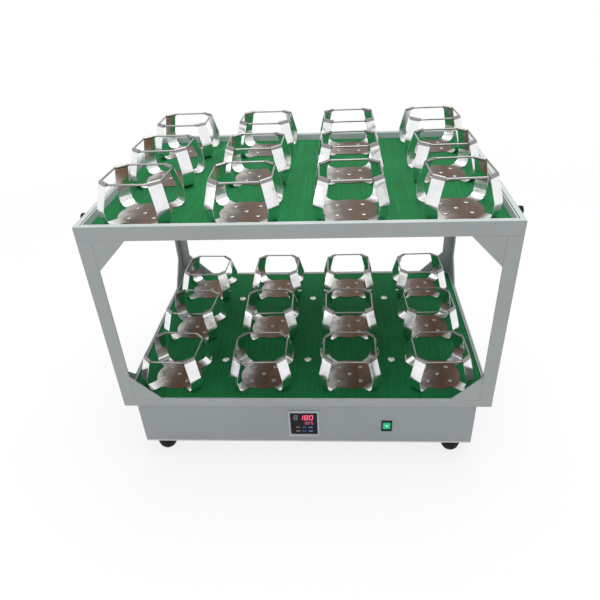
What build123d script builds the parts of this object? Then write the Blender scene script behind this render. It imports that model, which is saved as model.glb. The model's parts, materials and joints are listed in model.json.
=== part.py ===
from build123d import *
import os
from math import cos, pi, radians, sin, sqrt

os.makedirs("parts", exist_ok=True)

# Everything is in millimetres, +Z up, with z = 0 on the bench and the carriage centred on x = y = 0

# Driving dimensions: base
foot_height = 27
foot_diameter = 36
foot_facets = 24
foot_taper = 4
foot_side_inset = 34
foot_end_inset = 19
base_width = 618
base_depth = 450
base_height = 95
base_wall = 1.5
base_plate_thickness = 3
base_plate_inset = 0.5
vent_width = 4
vent_height = 26
vent_pitch = 12
vent_count = 5
vent_centre_height = 30
vent_setback = 70

# Driving dimensions: orbit and drive
orbit_radius = 10
rest_angle = -73
carriage_gap = 13
spindle_radius = 10
running_clearance = 0.05
main_housing_side = 84
main_housing_corner = 12
main_housing_height = 36
main_bearing_radius = 21
main_bearing_height = 24
pulley_lift = 2
pulley_height = 14
driven_pulley_teeth = 66
motor_pulley_teeth = 24
belt_pitch = 5
belt_thickness = 3
belt_clearance = 0.3
belt_side_margin = 1
counterweight_length = 110
counterweight_width = 46
counterweight_height = 18
counterweight_reach = 68
web_height = 8
web_width = 30
crankpin_radius = 7.5
crankpin_length = 25
carriage_housing_side = 60
carriage_housing_corner = 10
carriage_housing_height = 22
carriage_bearing_radius = 17.5
carriage_bearing_height = 12
well_clearance = 5

# Driving dimensions: motor
motor_distance = 150
motor_angle = 12
motor_side = 72
motor_corner = 8
motor_height = 30
motor_shaft_radius = 4
motor_shaft_gap = 0.3
motor_plate_thickness = 4
motor_plate_length = 104
motor_plate_width = 84
tension_slot_length = 12
tension_slot_width = 7
tension_slot_margin = 10

# Driving dimensions: idler cranks
idler_pitch_x = 470
idler_pitch_y = 300
idler_post_foot = 58
idler_post_taper = 6
idler_post_height = 66
idler_journal_radius = 6
idler_journal_lift = 2
idler_web_height = 8
idler_web_width = 20
idler_pin_radius = 5
idler_pin_length = 26
idler_block_side = 34
idler_block_height = 20
idler_bore_depth = 16
idler_end_gap = 2

# Driving dimensions: carriage frame
frame_width = 650
frame_depth = 472
frame_height = 345
angle_wall = 3
angle_leg = 23
lower_rail_height = 15
upper_rail_height = 23
ledge_width = 22
lip_width = 8
lip_thickness = 2
gusset_leg = 50
platform_thickness = 4
platform_clearance = 0.5
frame_pad_thickness = 3
frame_pad_width = 10

# Driving dimensions: trays and mats
tray_wall = 2
tray_clearance = 1
lower_tray_height = 7.5
upper_tray_height = 16.5
mat_thickness = 3
mat_clearance = 1

# Driving dimensions: flask clamps
clamp_side_margin = 85
clamp_end_margin = 76
clamp_column_count = 4
clamp_row_count = 3
clamp_sheet = 1.2
clamp_plate_radius = 42
clamp_plate_facets = 12
clamp_arm_width = 22
clamp_root_radius = 58
clamp_bulge_radius = 68
clamp_bulge_height = 26
ring_flats = 92
ring_corner_cut = 17
ring_height = 63
wire_thickness = 3
wire_clearance = 0.2

# Driving dimensions: tray locking screws
lock_setback = 58
lock_height = 14
lock_stud_radius = 3
lock_gap = 0.3
lock_knob_radius = 7
lock_knob_length = 9
lock_knob_facets = 12
lock_knob_chamfer = 1
lock_knob_gap = 0.5

# Driving dimensions: panel
display_x = -5
display_z = 74.5
bezel_width = 58
bezel_height = 65
bezel_proud = 1.5
window_width = 50
window_height = 53
window_proud = 0.5
window_clearance = 0.15
module_rim = 2
display_module_depth = 14
key_width = 9.5
key_height = 6.5
key_pitch_x = 11.8
key_pitch_z = 9.4
key_column_count = 3
key_row_count = 2
key_offset_x = 0.5
key_drop = 13.5
key_proud = 0.6
key_flange = 0.8
key_travel = 0.5
key_clearance = 0.25
key_stop_gap = 0.3
switch_x = 148
switch_z = 70
switch_width = 19.4
switch_height = 24.8
switch_flange = 2
switch_body_width = 17
switch_body_height = 22
switch_body_depth = 18
switch_fit_clearance = 0.2
rocker_width = 13.2
rocker_height = 17.4
rocker_clearance = 0.35
rocker_tilt = 10
rocker_pivot_depth = 3
rocker_valley = 4

# Driving dimensions: mains inlet and control board
inlet_x = -210
inlet_z = 72
inlet_width = 50
inlet_height = 30
inlet_flange = 1.2
inlet_body_width = 28
inlet_body_height = 21
inlet_body_depth = 20
inlet_socket_depth = 15
inlet_socket_wall = 1.6
board_width = 110
board_depth = 80
board_thickness = 2
board_x = -150
board_y = -90
board_post_height = 10
board_post_side = 8
board_post_inset = 7
board_heatsink_shift = 20
board_heatsink_pitch = 8
board_heatsink_fins = 5
board_heatsink_fin = 3
board_heatsink_length = 50
board_heatsink_height = 24

# Places worked out from the driving dimensions
spindle_x = -orbit_radius * cos(radians(rest_angle))
spindle_y = -orbit_radius * sin(radians(rest_angle))
spindle = (spindle_x, spindle_y)
base_bottom = foot_height
plate_top = base_bottom + base_plate_thickness
base_top = base_bottom + base_height
base_front = spindle_y - base_depth / 2
base_back = spindle_y + base_depth / 2
carriage_bottom = base_top + carriage_gap
platform_bottom = carriage_bottom + angle_wall
platform_top = platform_bottom + platform_thickness
lower_mat_bottom = platform_top + tray_wall
lower_mat_top = lower_mat_bottom + mat_thickness
upper_frame_bottom = carriage_bottom + frame_height - upper_rail_height
frame_top = carriage_bottom + frame_height
ledge_top = upper_frame_bottom + angle_wall
upper_tray_bottom = ledge_top + frame_pad_thickness
upper_mat_bottom = upper_tray_bottom + tray_wall
upper_mat_top = upper_mat_bottom + mat_thickness
main_housing_top = plate_top + main_housing_height
pulley_bottom = main_housing_top + pulley_lift
pulley_top = pulley_bottom + pulley_height
web_bottom = pulley_top + counterweight_height
web_top = web_bottom + web_height
driven_pulley_radius = driven_pulley_teeth * belt_pitch / (2 * pi)
motor_pulley_radius = motor_pulley_teeth * belt_pitch / (2 * pi)
motor_x = spindle_x + motor_distance * cos(radians(motor_angle))
motor_y = spindle_y + motor_distance * sin(radians(motor_angle))
idler_places = {
    "front_left": (-idler_pitch_x / 2, -idler_pitch_y / 2),
    "front_right": (idler_pitch_x / 2, -idler_pitch_y / 2),
    "back": (0, idler_pitch_y / 2),
}


def save(piece, label):
    piece.part.label = label
    export_step(piece.part, f"parts/{label}.step")


def crank_plane(x, y, z):
    """A level plane whose local +X points from a crank's turning axis to its pin."""
    direction = (cos(radians(rest_angle)), sin(radians(rest_angle)), 0)
    return Plane(origin=(x, y, z), x_dir=direction, z_dir=(0, 0, 1))


# Base housing: a folded sheet cover, open underneath, with wells for the bearing blocks
well_margin = 2 * (orbit_radius + well_clearance)
with BuildPart() as base_housing:
    with BuildSketch(Plane.XY.offset(plate_top)):
        with Locations(spindle):
            Rectangle(base_width, base_depth)
    extrude(amount=base_top - plate_top)
    offset(amount=-base_wall, openings=base_housing.faces().sort_by(Axis.Z)[0], kind=Kind.INTERSECTION)
    with BuildSketch(Plane.XY.offset(base_top)):
        with Locations(spindle):
            Rectangle(carriage_housing_side + well_margin, carriage_housing_side + well_margin)
            with Locations(*idler_places.values()):
                Rectangle(idler_block_side + well_margin, idler_block_side + well_margin)
    extrude(amount=-base_wall, mode=Mode.SUBTRACT)
    with BuildSketch(Plane.XZ.offset(-base_front)):
        with Locations((display_x, display_z)):
            Rectangle(window_width, window_height)
        with Locations((switch_x, switch_z)):
            Rectangle(switch_body_width, switch_body_height)
    extrude(amount=-base_wall, mode=Mode.SUBTRACT)
    with BuildSketch(Plane.XZ.offset(-base_back)):
        with Locations((inlet_x, inlet_z)):
            Rectangle(inlet_body_width, inlet_body_height)
    extrude(amount=base_wall, mode=Mode.SUBTRACT)
    with BuildSketch(Plane.YZ.offset(spindle_x)):
        with Locations((base_back - vent_setback, base_bottom + vent_centre_height)):
            with GridLocations(vent_pitch, 0, vent_count, 1):
                Rectangle(vent_width, vent_height)
    extrude(amount=base_width / 2, both=True, mode=Mode.SUBTRACT)
save(base_housing, "base_housing")

with BuildPart() as bottom_plate:
    with BuildSketch(Plane.XY.offset(base_bottom)):
        with Locations(spindle):
            Rectangle(base_width - 2 * base_plate_inset, base_depth - 2 * base_plate_inset)
    extrude(amount=base_plate_thickness)
    with BuildSketch(Plane.XY.offset(plate_top)):
        with Locations((board_x, board_y)):
            with GridLocations(board_width - 2 * board_post_inset, board_depth - 2 * board_post_inset, 2, 2):
                Rectangle(board_post_side, board_post_side)
    extrude(amount=board_post_height)
save(bottom_plate, "bottom_plate")

foot_grid_x = base_width - 2 * foot_side_inset
foot_grid_y = base_depth - 2 * foot_end_inset
with BuildPart() as rubber_feet:
    with BuildSketch(Plane.XY.offset(foot_height)):
        with Locations(spindle):
            with GridLocations(foot_grid_x, foot_grid_y, 2, 2):
                RegularPolygon(foot_diameter / 2, foot_facets)
    extrude(amount=-foot_height, taper=foot_taper)
save(rubber_feet, "rubber_feet")

# Bearing block that carries the spindle
with BuildPart() as main_bearing_housing:
    with BuildSketch(Plane.XY.offset(plate_top)):
        with Locations(spindle):
            Rectangle(main_housing_side, main_housing_side)
        chamfer(vertices(), length=main_housing_corner)
    extrude(amount=main_housing_height)
    with BuildSketch(Plane.XY.offset(main_housing_top)):
        with Locations(spindle):
            Circle(main_bearing_radius)
    extrude(amount=-main_bearing_height, mode=Mode.SUBTRACT)
save(main_bearing_housing, "main_bearing_housing")

with BuildPart() as main_bearing:
    with BuildSketch(Plane.XY.offset(main_housing_top)):
        with Locations(spindle):
            Circle(main_bearing_radius)
            Circle(spindle_radius + running_clearance, mode=Mode.SUBTRACT)
    extrude(amount=-main_bearing_height)
save(main_bearing, "main_bearing")

# Crank: spindle, web and crankpin turned and milled as one piece
with BuildPart() as crank_spindle:
    with BuildSketch(crank_plane(*spindle, main_housing_top - main_bearing_height)):
        Circle(spindle_radius)
    extrude(amount=web_bottom - main_housing_top + main_bearing_height)
    with BuildSketch(crank_plane(*spindle, web_bottom)):
        with Locations((orbit_radius / 2, 0)):
            Rectangle(web_width + orbit_radius, web_width)
    extrude(amount=web_height)
    with BuildSketch(crank_plane(*spindle, web_top)):
        with Locations((orbit_radius, 0)):
            Circle(crankpin_radius)
    extrude(amount=crankpin_length)
save(crank_spindle, "crank_spindle")

with BuildPart() as driven_pulley:
    with BuildSketch(Plane.XY.offset(pulley_bottom)):
        with Locations(spindle):
            RegularPolygon(driven_pulley_radius, driven_pulley_teeth)
            Circle(spindle_radius, mode=Mode.SUBTRACT)
    extrude(amount=pulley_height)
save(driven_pulley, "driven_pulley")

with BuildPart() as counterweight:
    with BuildSketch(crank_plane(*spindle, pulley_top)):
        with Locations((-counterweight_reach, 0)):
            Rectangle(counterweight_width, counterweight_length, align=(Align.MIN, Align.CENTER))
    extrude(amount=counterweight_height)
save(counterweight, "counterweight")

# Motor, its slotted plate, toothed pulley and belt
with BuildPart() as motor_plate:
    with BuildSketch(Plane.XY.offset(plate_top)):
        with Locations((motor_x, motor_y)):
            Rectangle(motor_plate_length, motor_plate_width)
            with GridLocations(
                motor_plate_length - 2 * tension_slot_margin,
                motor_plate_width - 2 * tension_slot_margin,
                2,
                2,
            ):
                Rectangle(tension_slot_length, tension_slot_width, mode=Mode.SUBTRACT)
    extrude(amount=motor_plate_thickness)
save(motor_plate, "motor_plate")

motor_bottom = plate_top + motor_plate_thickness
motor_top = motor_bottom + motor_height
with BuildPart() as drive_motor:
    with BuildSketch(Plane.XY.offset(motor_bottom)):
        with Locations((motor_x, motor_y)):
            Rectangle(motor_side, motor_side)
        chamfer(vertices(), length=motor_corner)
    extrude(amount=motor_height)
save(drive_motor, "drive_motor")

with BuildPart() as motor_pulley:
    with BuildSketch(Plane.XY.offset(motor_top + motor_shaft_gap)):
        with Locations((motor_x, motor_y)):
            Circle(motor_shaft_radius)
    extrude(amount=pulley_bottom - motor_top - motor_shaft_gap)
    with BuildSketch(Plane.XY.offset(pulley_bottom)):
        with Locations((motor_x, motor_y)):
            RegularPolygon(motor_pulley_radius, motor_pulley_teeth)
    extrude(amount=pulley_height)
save(motor_pulley, "motor_pulley")

with BuildSketch(Plane.XY.offset(pulley_bottom + belt_side_margin)) as belt_inside:
    with Locations(spindle):
        RegularPolygon(driven_pulley_radius + belt_clearance, driven_pulley_teeth)
    with Locations((motor_x, motor_y)):
        RegularPolygon(motor_pulley_radius + belt_clearance, motor_pulley_teeth)
    make_hull()

with BuildPart() as drive_belt:
    with BuildSketch(Plane.XY.offset(pulley_bottom + belt_side_margin)):
        add(belt_inside.sketch_local)
        offset(amount=belt_thickness, kind=Kind.INTERSECTION)
        add(belt_inside.sketch_local, mode=Mode.SUBTRACT)
    extrude(amount=pulley_height - 2 * belt_side_margin)
save(drive_belt, "drive_belt")

# Idler cranks: bearing posts in the base, cranks that keep the carriage from turning, blocks above them
with BuildPart() as idler_posts:
    with BuildSketch(Plane.XY.offset(plate_top)):
        with Locations(spindle):
            with Locations(*idler_places.values()):
                Rectangle(idler_post_foot, idler_post_foot)
    extrude(amount=idler_post_height, taper=idler_post_taper)
    with BuildSketch(Plane.XY.offset(plate_top + idler_post_height)):
        with Locations(spindle):
            with Locations(*idler_places.values()):
                Circle(idler_journal_radius + running_clearance)
    extrude(amount=-idler_bore_depth, mode=Mode.SUBTRACT)
save(idler_posts, "idler_posts")

idler_web_bottom = plate_top + idler_post_height + idler_journal_lift
idler_web_top = idler_web_bottom + idler_web_height
for place_name, (carriage_x, carriage_y) in idler_places.items():
    axis_x = carriage_x + spindle_x
    axis_y = carriage_y + spindle_y
    with BuildPart() as idler_crank:
        with BuildSketch(crank_plane(axis_x, axis_y, idler_web_bottom)):
            Circle(idler_journal_radius)
        extrude(amount=-(idler_journal_lift + idler_bore_depth - idler_end_gap))
        with BuildSketch(crank_plane(axis_x, axis_y, idler_web_bottom)):
            with Locations((orbit_radius / 2, 0)):
                Rectangle(idler_web_width + orbit_radius, idler_web_width)
        extrude(amount=idler_web_height)
        with BuildSketch(crank_plane(axis_x, axis_y, idler_web_top)):
            with Locations((orbit_radius, 0)):
                Circle(idler_pin_radius)
        extrude(amount=idler_pin_length)
    save(idler_crank, f"idler_crank_{place_name}")

with BuildPart() as idler_blocks:
    with BuildSketch(Plane.XY.offset(platform_bottom)):
        with Locations(*idler_places.values()):
            Rectangle(idler_block_side, idler_block_side)
            Circle(idler_pin_radius + running_clearance, mode=Mode.SUBTRACT)
    extrude(amount=-idler_block_height)
save(idler_blocks, "idler_blocks")

# Carriage bearing block that the crankpin turns in
with BuildPart() as carriage_bearing_housing:
    with BuildSketch(Plane.XY.offset(platform_bottom)):
        Rectangle(carriage_housing_side, carriage_housing_side)
        chamfer(vertices(), length=carriage_housing_corner)
        Circle(carriage_bearing_radius, mode=Mode.SUBTRACT)
    extrude(amount=-carriage_housing_height)
save(carriage_bearing_housing, "carriage_bearing_housing")

with BuildPart() as carriage_bearing:
    with BuildSketch(Plane.XY.offset(platform_bottom - carriage_housing_height)):
        Circle(carriage_bearing_radius)
        Circle(crankpin_radius + running_clearance, mode=Mode.SUBTRACT)
    extrude(amount=carriage_bearing_height)
save(carriage_bearing, "carriage_bearing")

# Carriage frame: welded angle frames, corner uprights and gusset plates
with BuildPart() as platform_plate:
    with BuildSketch(Plane.XY.offset(platform_bottom)):
        Rectangle(
            frame_width - 2 * angle_wall - 2 * platform_clearance,
            frame_depth - 2 * angle_wall - 2 * platform_clearance,
        )
    extrude(amount=platform_thickness)
save(platform_plate, "platform_plate")

with BuildPart() as lower_frame:
    with BuildSketch(Plane.XY.offset(carriage_bottom)):
        Rectangle(frame_width, frame_depth)
        Rectangle(frame_width - 2 * ledge_width, frame_depth - 2 * ledge_width, mode=Mode.SUBTRACT)
    extrude(amount=angle_wall)
    with BuildSketch(Plane.XY.offset(carriage_bottom)):
        Rectangle(frame_width, frame_depth)
        Rectangle(frame_width - 2 * angle_wall, frame_depth - 2 * angle_wall, mode=Mode.SUBTRACT)
    extrude(amount=lower_rail_height)
save(lower_frame, "lower_frame")

lock_y = lock_setback - frame_depth / 2
lock_z = upper_frame_bottom + lock_height
with BuildPart() as upper_frame:
    with BuildSketch(Plane.XY.offset(upper_frame_bottom)):
        Rectangle(frame_width, frame_depth)
        Rectangle(frame_width - 2 * ledge_width, frame_depth - 2 * ledge_width, mode=Mode.SUBTRACT)
    extrude(amount=angle_wall)
    with BuildSketch(Plane.XY.offset(upper_frame_bottom)):
        Rectangle(frame_width, frame_depth)
        Rectangle(frame_width - 2 * angle_wall, frame_depth - 2 * angle_wall, mode=Mode.SUBTRACT)
    extrude(amount=upper_rail_height)
    with BuildSketch(Plane.XY.offset(frame_top)):
        Rectangle(frame_width, frame_depth)
        Rectangle(frame_width - 2 * lip_width, frame_depth - 2 * lip_width, mode=Mode.SUBTRACT)
    extrude(amount=-lip_thickness)
    with BuildSketch(Plane.YZ):
        with Locations((lock_y, lock_z)):
            Circle(lock_stud_radius + running_clearance)
    extrude(amount=frame_width / 2, both=True, mode=Mode.SUBTRACT)
save(upper_frame, "upper_frame")

with BuildPart() as uprights:
    with BuildSketch(Plane.XY.offset(carriage_bottom + lower_rail_height)):
        with GridLocations(frame_width - angle_leg, frame_depth - angle_leg, 2, 2):
            Rectangle(angle_leg, angle_leg)
        Rectangle(frame_width - 2 * angle_wall, frame_depth - 2 * angle_wall, mode=Mode.SUBTRACT)
    extrude(amount=frame_height - lower_rail_height - upper_rail_height)
save(uprights, "uprights")


gusset_bottom = carriage_bottom + lower_rail_height
gusset_triangle = [(0, 0), (gusset_leg, 0), (0, gusset_leg)]
gusset_triangle_hung = [(0, 0), (gusset_leg, 0), (0, -gusset_leg)]
with BuildPart() as gussets:
    with BuildSketch(Plane.XZ.offset(frame_depth / 2)):
        with Locations((angle_leg - frame_width / 2, gusset_bottom)):
            Polygon(*gusset_triangle, align=None)
        with Locations((angle_leg - frame_width / 2, upper_frame_bottom)):
            Polygon(*gusset_triangle_hung, align=None)
        mirror(about=Plane.YZ)
    extrude(amount=-angle_wall)
    mirror(about=Plane.XZ)
    with BuildSketch(Plane.YZ.offset(frame_width / 2)):
        with Locations((angle_leg - frame_depth / 2, gusset_bottom)):
            Polygon(*gusset_triangle, align=None)
        with Locations((angle_leg - frame_depth / 2, upper_frame_bottom)):
            Polygon(*gusset_triangle_hung, align=None)
        mirror(about=Plane.YZ)
    extrude(amount=-angle_wall)
    mirror(about=Plane.YZ)
save(gussets, "gussets")

with BuildPart() as frame_pads:
    pad_outer_x = frame_width - 2 * (lip_width + tray_clearance)
    pad_outer_y = frame_depth - 2 * (lip_width + tray_clearance)
    with BuildSketch(Plane.XY.offset(ledge_top)):
        Rectangle(pad_outer_x, pad_outer_y)
        Rectangle(pad_outer_x - 2 * frame_pad_width, pad_outer_y - 2 * frame_pad_width, mode=Mode.SUBTRACT)
    extrude(amount=frame_pad_thickness)
save(frame_pads, "frame_pads")


# Trays: folded sheet pans, each with a rubber mat lying in it
lower_tray_width = frame_width - 2 * angle_wall - 2 * tray_clearance
lower_tray_depth = frame_depth - 2 * angle_wall - 2 * tray_clearance
with BuildPart() as lower_tray:
    with BuildSketch(Plane.XY.offset(platform_top)):
        Rectangle(lower_tray_width, lower_tray_depth)
    extrude(amount=lower_tray_height)
    offset(amount=-tray_wall, openings=lower_tray.faces().sort_by(Axis.Z)[-1], kind=Kind.INTERSECTION)
save(lower_tray, "lower_tray")

upper_tray_width = frame_width - 2 * lip_width - 2 * tray_clearance
upper_tray_depth = frame_depth - 2 * lip_width - 2 * tray_clearance
with BuildPart() as upper_tray:
    with BuildSketch(Plane.XY.offset(upper_tray_bottom)):
        Rectangle(upper_tray_width, upper_tray_depth)
    extrude(amount=upper_tray_height)
    offset(amount=-tray_wall, openings=upper_tray.faces().sort_by(Axis.Z)[-1], kind=Kind.INTERSECTION)
save(upper_tray, "upper_tray")

with BuildPart() as lower_mat:
    with BuildSketch(Plane.XY.offset(lower_mat_bottom)):
        Rectangle(
            lower_tray_width - 2 * tray_wall - 2 * mat_clearance,
            lower_tray_depth - 2 * tray_wall - 2 * mat_clearance,
        )
    extrude(amount=mat_thickness)
save(lower_mat, "lower_mat")

with BuildPart() as upper_mat:
    with BuildSketch(Plane.XY.offset(upper_mat_bottom)):
        Rectangle(
            upper_tray_width - 2 * tray_wall - 2 * mat_clearance,
            upper_tray_depth - 2 * tray_wall - 2 * mat_clearance,
        )
    extrude(amount=mat_thickness)
save(upper_mat, "upper_mat")

# Flask clamp: one pressing with four strip arms that bulge out, lean in and hook over a wire ring
ring_arm_radius = (ring_flats - ring_corner_cut) / sqrt(2)
hook_reach = wire_thickness / 2 + wire_clearance + clamp_sheet
hook_outer = ring_arm_radius + hook_reach
hook_inner = ring_arm_radius - hook_reach
hook_top = ring_height + hook_reach
with BuildPart() as clamp_arm:
    with BuildSketch(Plane.XZ):
        Polygon(
            (clamp_plate_radius - clamp_sheet, 0),
            (clamp_root_radius, 0),
            (clamp_bulge_radius, clamp_bulge_height),
            (hook_outer, hook_top),
            (hook_inner, hook_top),
            (hook_inner, hook_top - clamp_sheet),
            (hook_outer - clamp_sheet, hook_top - clamp_sheet),
            (clamp_bulge_radius - clamp_sheet, clamp_bulge_height),
            (clamp_root_radius - clamp_sheet / 2, clamp_sheet),
            (clamp_plate_radius - clamp_sheet, clamp_sheet),
            align=None,
        )
    extrude(amount=clamp_arm_width / 2, both=True)

with BuildPart() as clamp:
    with BuildSketch():
        RegularPolygon(clamp_plate_radius, clamp_plate_facets, major_radius=False)
    extrude(amount=clamp_sheet)
    with PolarLocations(0, 4, start_angle=45):
        add(clamp_arm.part)

with BuildPart() as ring:
    with BuildSketch(Plane.XY.offset(ring_height - wire_thickness / 2)):
        Rectangle(ring_flats, ring_flats)
        chamfer(vertices(), length=ring_corner_cut)
        offset(amount=wire_thickness / 2, kind=Kind.INTERSECTION)
        offset(amount=-wire_thickness, kind=Kind.INTERSECTION, mode=Mode.SUBTRACT)
    extrude(amount=wire_thickness)

clamp_pitch_x = (frame_width - 2 * clamp_side_margin) / (clamp_column_count - 1)
clamp_pitch_y = (frame_depth - 2 * clamp_end_margin) / (clamp_row_count - 1)
for deck, mat_top in (("lower", lower_mat_top), ("upper", upper_mat_top)):
    for row, row_name in enumerate(("front", "middle", "back")):
        row_y = (row - (clamp_row_count - 1) / 2) * clamp_pitch_y
        with BuildPart() as clamp_row:
            with Locations((0, row_y, mat_top)):
                with GridLocations(clamp_pitch_x, 0, clamp_column_count, 1):
                    add(clamp.part)
        save(clamp_row, f"clamps_{deck}_{row_name}")
        with BuildPart() as ring_row:
            with Locations((0, row_y, mat_top)):
                with GridLocations(clamp_pitch_x, 0, clamp_column_count, 1):
                    add(ring.part)
        save(ring_row, f"rings_{deck}_{row_name}")

# Tray locking screws: a stud through each side rail, with a hand knob moulded on its outer end
stud_inner = upper_tray_width / 2 + lock_gap
stud_outer = frame_width / 2 + lock_knob_gap
for side, direction in (("left", -1), ("right", 1)):
    side_plane = Plane(origin=(0, lock_y, lock_z), x_dir=(0, direction, 0), z_dir=(direction, 0, 0))
    with BuildPart() as lock_stud:
        with BuildSketch(side_plane.offset(stud_inner)):
            Circle(lock_stud_radius)
        extrude(amount=stud_outer - stud_inner)
    save(lock_stud, f"lock_stud_{side}")
    with BuildPart() as lock_knob:
        with BuildSketch(side_plane.offset(stud_outer)):
            RegularPolygon(lock_knob_radius, lock_knob_facets)
        extrude(amount=lock_knob_length)
        chamfer(lock_knob.faces().sort_by(Axis.X)[-1 if direction > 0 else 0].edges(), lock_knob_chamfer)
    save(lock_knob, f"lock_knob_{side}")

# Display: a bezel frames a dark window, its module sits behind the sheet, six keys stand under the digits
module_front = base_front + base_wall
window_front = base_front - window_proud
with BuildPart() as display_bezel:
    with BuildSketch(Plane.XZ.offset(-base_front)):
        with Locations((display_x, display_z)):
            Rectangle(bezel_width, bezel_height)
            Rectangle(window_width, window_height, mode=Mode.SUBTRACT)
    extrude(amount=bezel_proud)
save(display_bezel, "display_bezel")

key_centre = (display_x + key_offset_x, display_z - key_drop)
with BuildPart() as display_window:
    with BuildSketch(Plane.XZ.offset(-module_front)):
        with Locations((display_x, display_z)):
            Rectangle(window_width - 2 * window_clearance, window_height - 2 * window_clearance)
        with Locations(key_centre):
            with GridLocations(key_pitch_x, key_pitch_z, key_column_count, key_row_count):
                Rectangle(
                    key_width + 2 * key_clearance,
                    key_height + 2 * key_clearance,
                    mode=Mode.SUBTRACT,
                )
    extrude(amount=module_front - window_front)
save(display_window, "display_window")

with BuildPart() as display_module:
    with BuildSketch(Plane.XZ.offset(-module_front)):
        with Locations((display_x, display_z)):
            Rectangle(window_width + 2 * module_rim, window_height + 2 * module_rim)
    extrude(amount=-display_module_depth)
    with BuildSketch(Plane.XZ.offset(-module_front)):
        with Locations((display_x, display_z)):
            Rectangle(window_width - 2 * module_rim, window_height - 2 * module_rim)
    extrude(amount=-(key_flange + key_travel + key_stop_gap), mode=Mode.SUBTRACT)
save(display_module, "display_module")

key_places = GridLocations(key_pitch_x, key_pitch_z, key_column_count, key_row_count).local_locations
for key_number, place in enumerate(key_places, start=1):
    key_x = key_centre[0] + place.position.X
    key_z = key_centre[1] + place.position.Y
    with BuildPart() as panel_key:
        with BuildSketch(Plane.XZ.offset(-module_front)):
            with Locations((key_x, key_z)):
                Rectangle(key_width, key_height)
        extrude(amount=module_front - window_front + key_proud)
        with BuildSketch(Plane.XZ.offset(-module_front)):
            with Locations((key_x, key_z)):
                Rectangle(key_width + 2 * key_flange, key_height + 2 * key_flange)
        extrude(amount=-key_flange)
    save(panel_key, f"panel_key_{key_number}")

# Mains switch: a snap-in body and a lit rocker whose two faces meet in a shallow valley
rocker_pivot = base_front + rocker_pivot_depth
rocker_radius = rocker_height / 2
with BuildPart() as switch_body:
    with BuildSketch(Plane.XZ.offset(-base_front)):
        with Locations((switch_x, switch_z)):
            Rectangle(switch_width, switch_height)
    extrude(amount=switch_flange)
    with BuildSketch(Plane.XZ.offset(-base_front)):
        with Locations((switch_x, switch_z)):
            Rectangle(
                switch_body_width - 2 * switch_fit_clearance,
                switch_body_height - 2 * switch_fit_clearance,
            )
    extrude(amount=-switch_body_depth)
    with BuildSketch(Plane.XZ.offset(switch_flange - base_front)):
        with Locations((switch_x, switch_z)):
            Rectangle(rocker_width + 2 * rocker_clearance, rocker_height + 2 * rocker_clearance)
    extrude(amount=-(switch_flange + rocker_pivot_depth + rocker_radius + rocker_clearance), mode=Mode.SUBTRACT)
save(switch_body, "switch_body")

rocker_plane = Plane(
    origin=(switch_x, rocker_pivot, switch_z),
    x_dir=(0, -cos(radians(rocker_tilt)), -sin(radians(rocker_tilt))),
    z_dir=(1, 0, 0),
)
rocker_rise = rocker_height * sin(radians(rocker_tilt))
with BuildPart() as switch_rocker:
    with BuildSketch(rocker_plane):
        Circle(rocker_radius)
        Polygon(
            (rocker_valley, 0),
            (rocker_valley + rocker_rise, rocker_height),
            (rocker_height, rocker_height),
            (rocker_height, -rocker_height),
            (rocker_valley + rocker_rise, -rocker_height),
            align=None,
            mode=Mode.SUBTRACT,
        )
    extrude(amount=rocker_width / 2, both=True)
save(switch_rocker, "switch_rocker")

# Mains inlet at the back and the speed control board inside
with BuildPart() as power_inlet:
    with BuildSketch(Plane.XZ.offset(-base_back)):
        with Locations((inlet_x, inlet_z)):
            Rectangle(inlet_width, inlet_height)
    extrude(amount=-inlet_flange)
    with BuildSketch(Plane.XZ.offset(-base_back)):
        with Locations((inlet_x, inlet_z)):
            Rectangle(inlet_body_width - 2 * switch_fit_clearance, inlet_body_height - 2 * switch_fit_clearance)
    extrude(amount=inlet_body_depth)
    with BuildSketch(Plane.XZ.offset(-base_back - inlet_flange)):
        with Locations((inlet_x, inlet_z)):
            Rectangle(inlet_body_width - 2 * inlet_socket_wall, inlet_body_height - 2 * inlet_socket_wall)
    extrude(amount=inlet_socket_depth, mode=Mode.SUBTRACT)
save(power_inlet, "power_inlet")

with BuildPart() as control_board:
    with BuildSketch(Plane.XY.offset(plate_top + board_post_height)):
        with Locations((board_x, board_y)):
            Rectangle(board_width, board_depth)
    extrude(amount=board_thickness)
    with BuildSketch(Plane.XY.offset(plate_top + board_post_height + board_thickness)):
        with Locations((board_x + board_heatsink_shift, board_y)):
            with GridLocations(board_heatsink_pitch, 0, board_heatsink_fins, 1):
                Rectangle(board_heatsink_fin, board_heatsink_length)
    extrude(amount=board_heatsink_height)
save(control_board, "control_board")
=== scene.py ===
import json
from math import atan2, cos, hypot, pi, radians, sin, sqrt

import bmesh
import bpy
from mathutils import Matrix, Vector


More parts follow.
